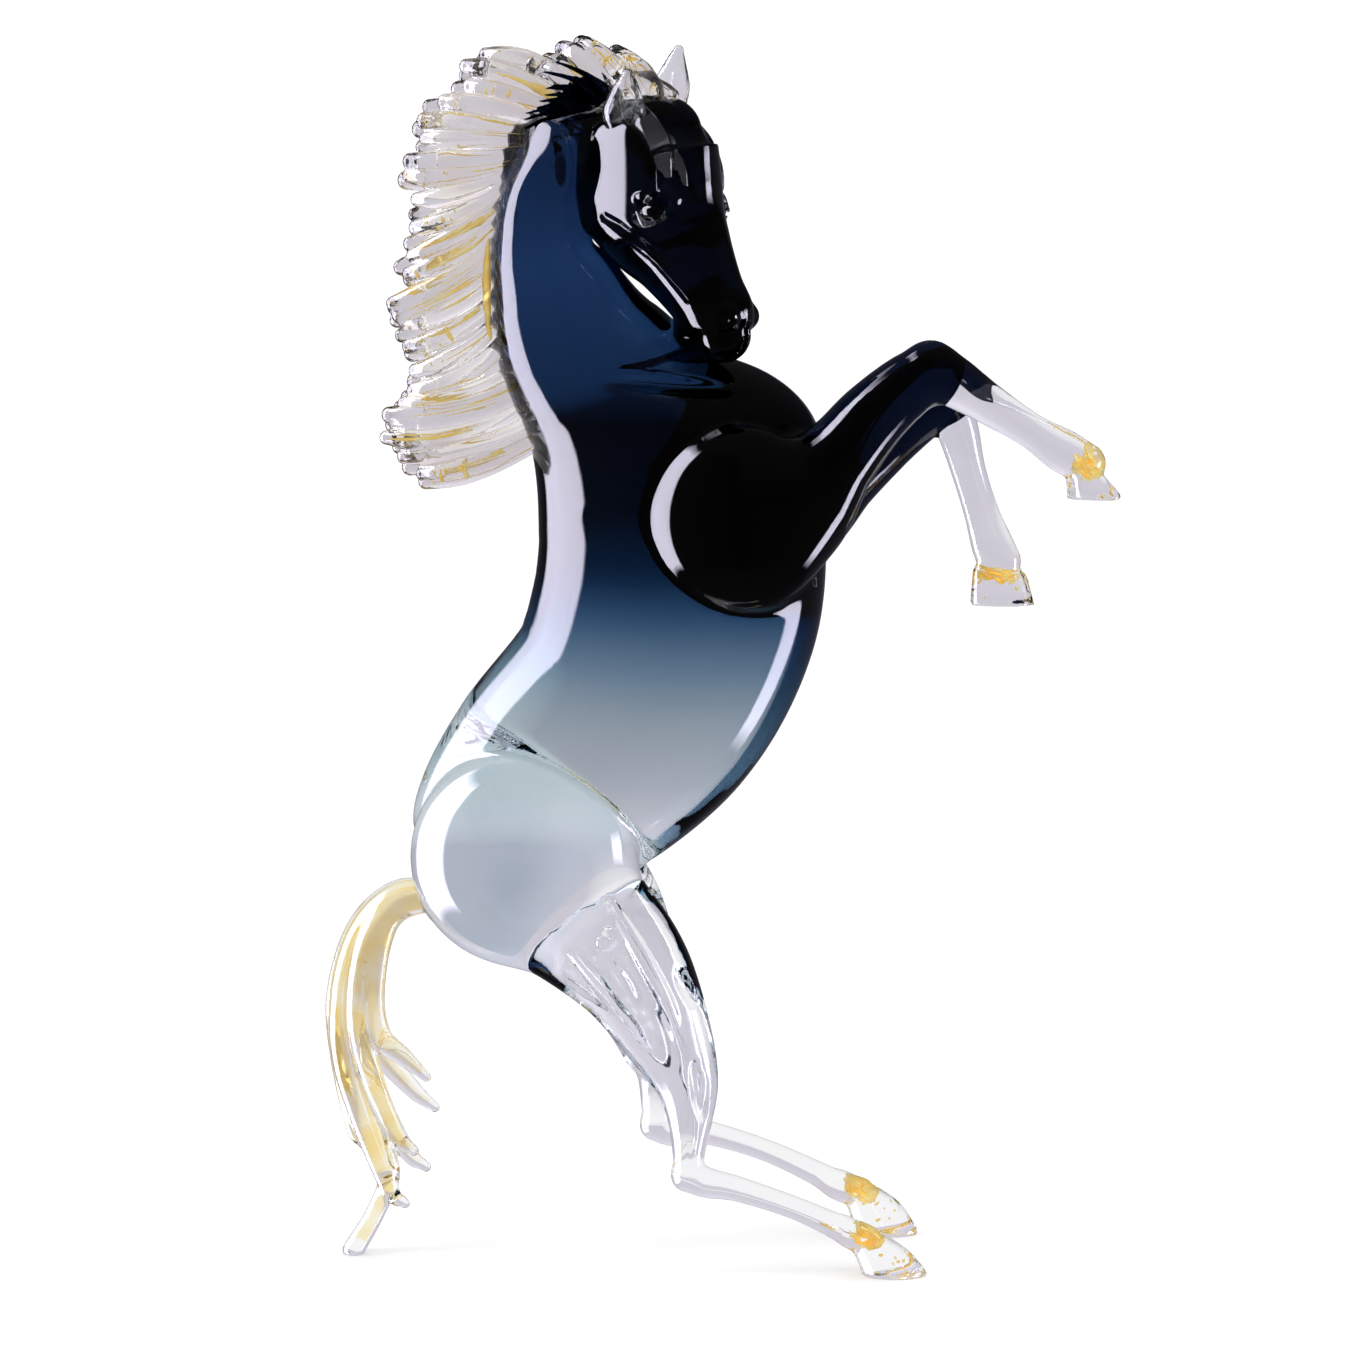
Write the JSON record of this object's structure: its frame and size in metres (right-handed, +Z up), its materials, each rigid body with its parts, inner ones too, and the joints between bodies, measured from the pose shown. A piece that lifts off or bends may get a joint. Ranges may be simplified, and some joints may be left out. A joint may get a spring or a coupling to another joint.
{
  "type": "glass horse figurine",
  "caption": "Rearing horse in solid hot-worked glass, dark blue fading to clear, with a spiky mane and a long tail; stands on its hind hooves and tail tip.",
  "frame": {"origin": "middle of the underside of the figurine's box, on the surface that it stands on", "axes": "+Z up, +X the way the horse faces, -Y its near side, the one towards which its head is turned"},
  "size_m": [0.3214, 0.1104, 0.4904],
  "materials": {
    "blue_glass": "fire-polished",
    "clear_glass": "fire-polished",
    "amber_glass": "fire-polished",
    "gold_leaf": "leaf sealed in glass"
  },
  "bodies": {
    "root": {"horse": "blue_glass"}
  },
  "joints": []
}
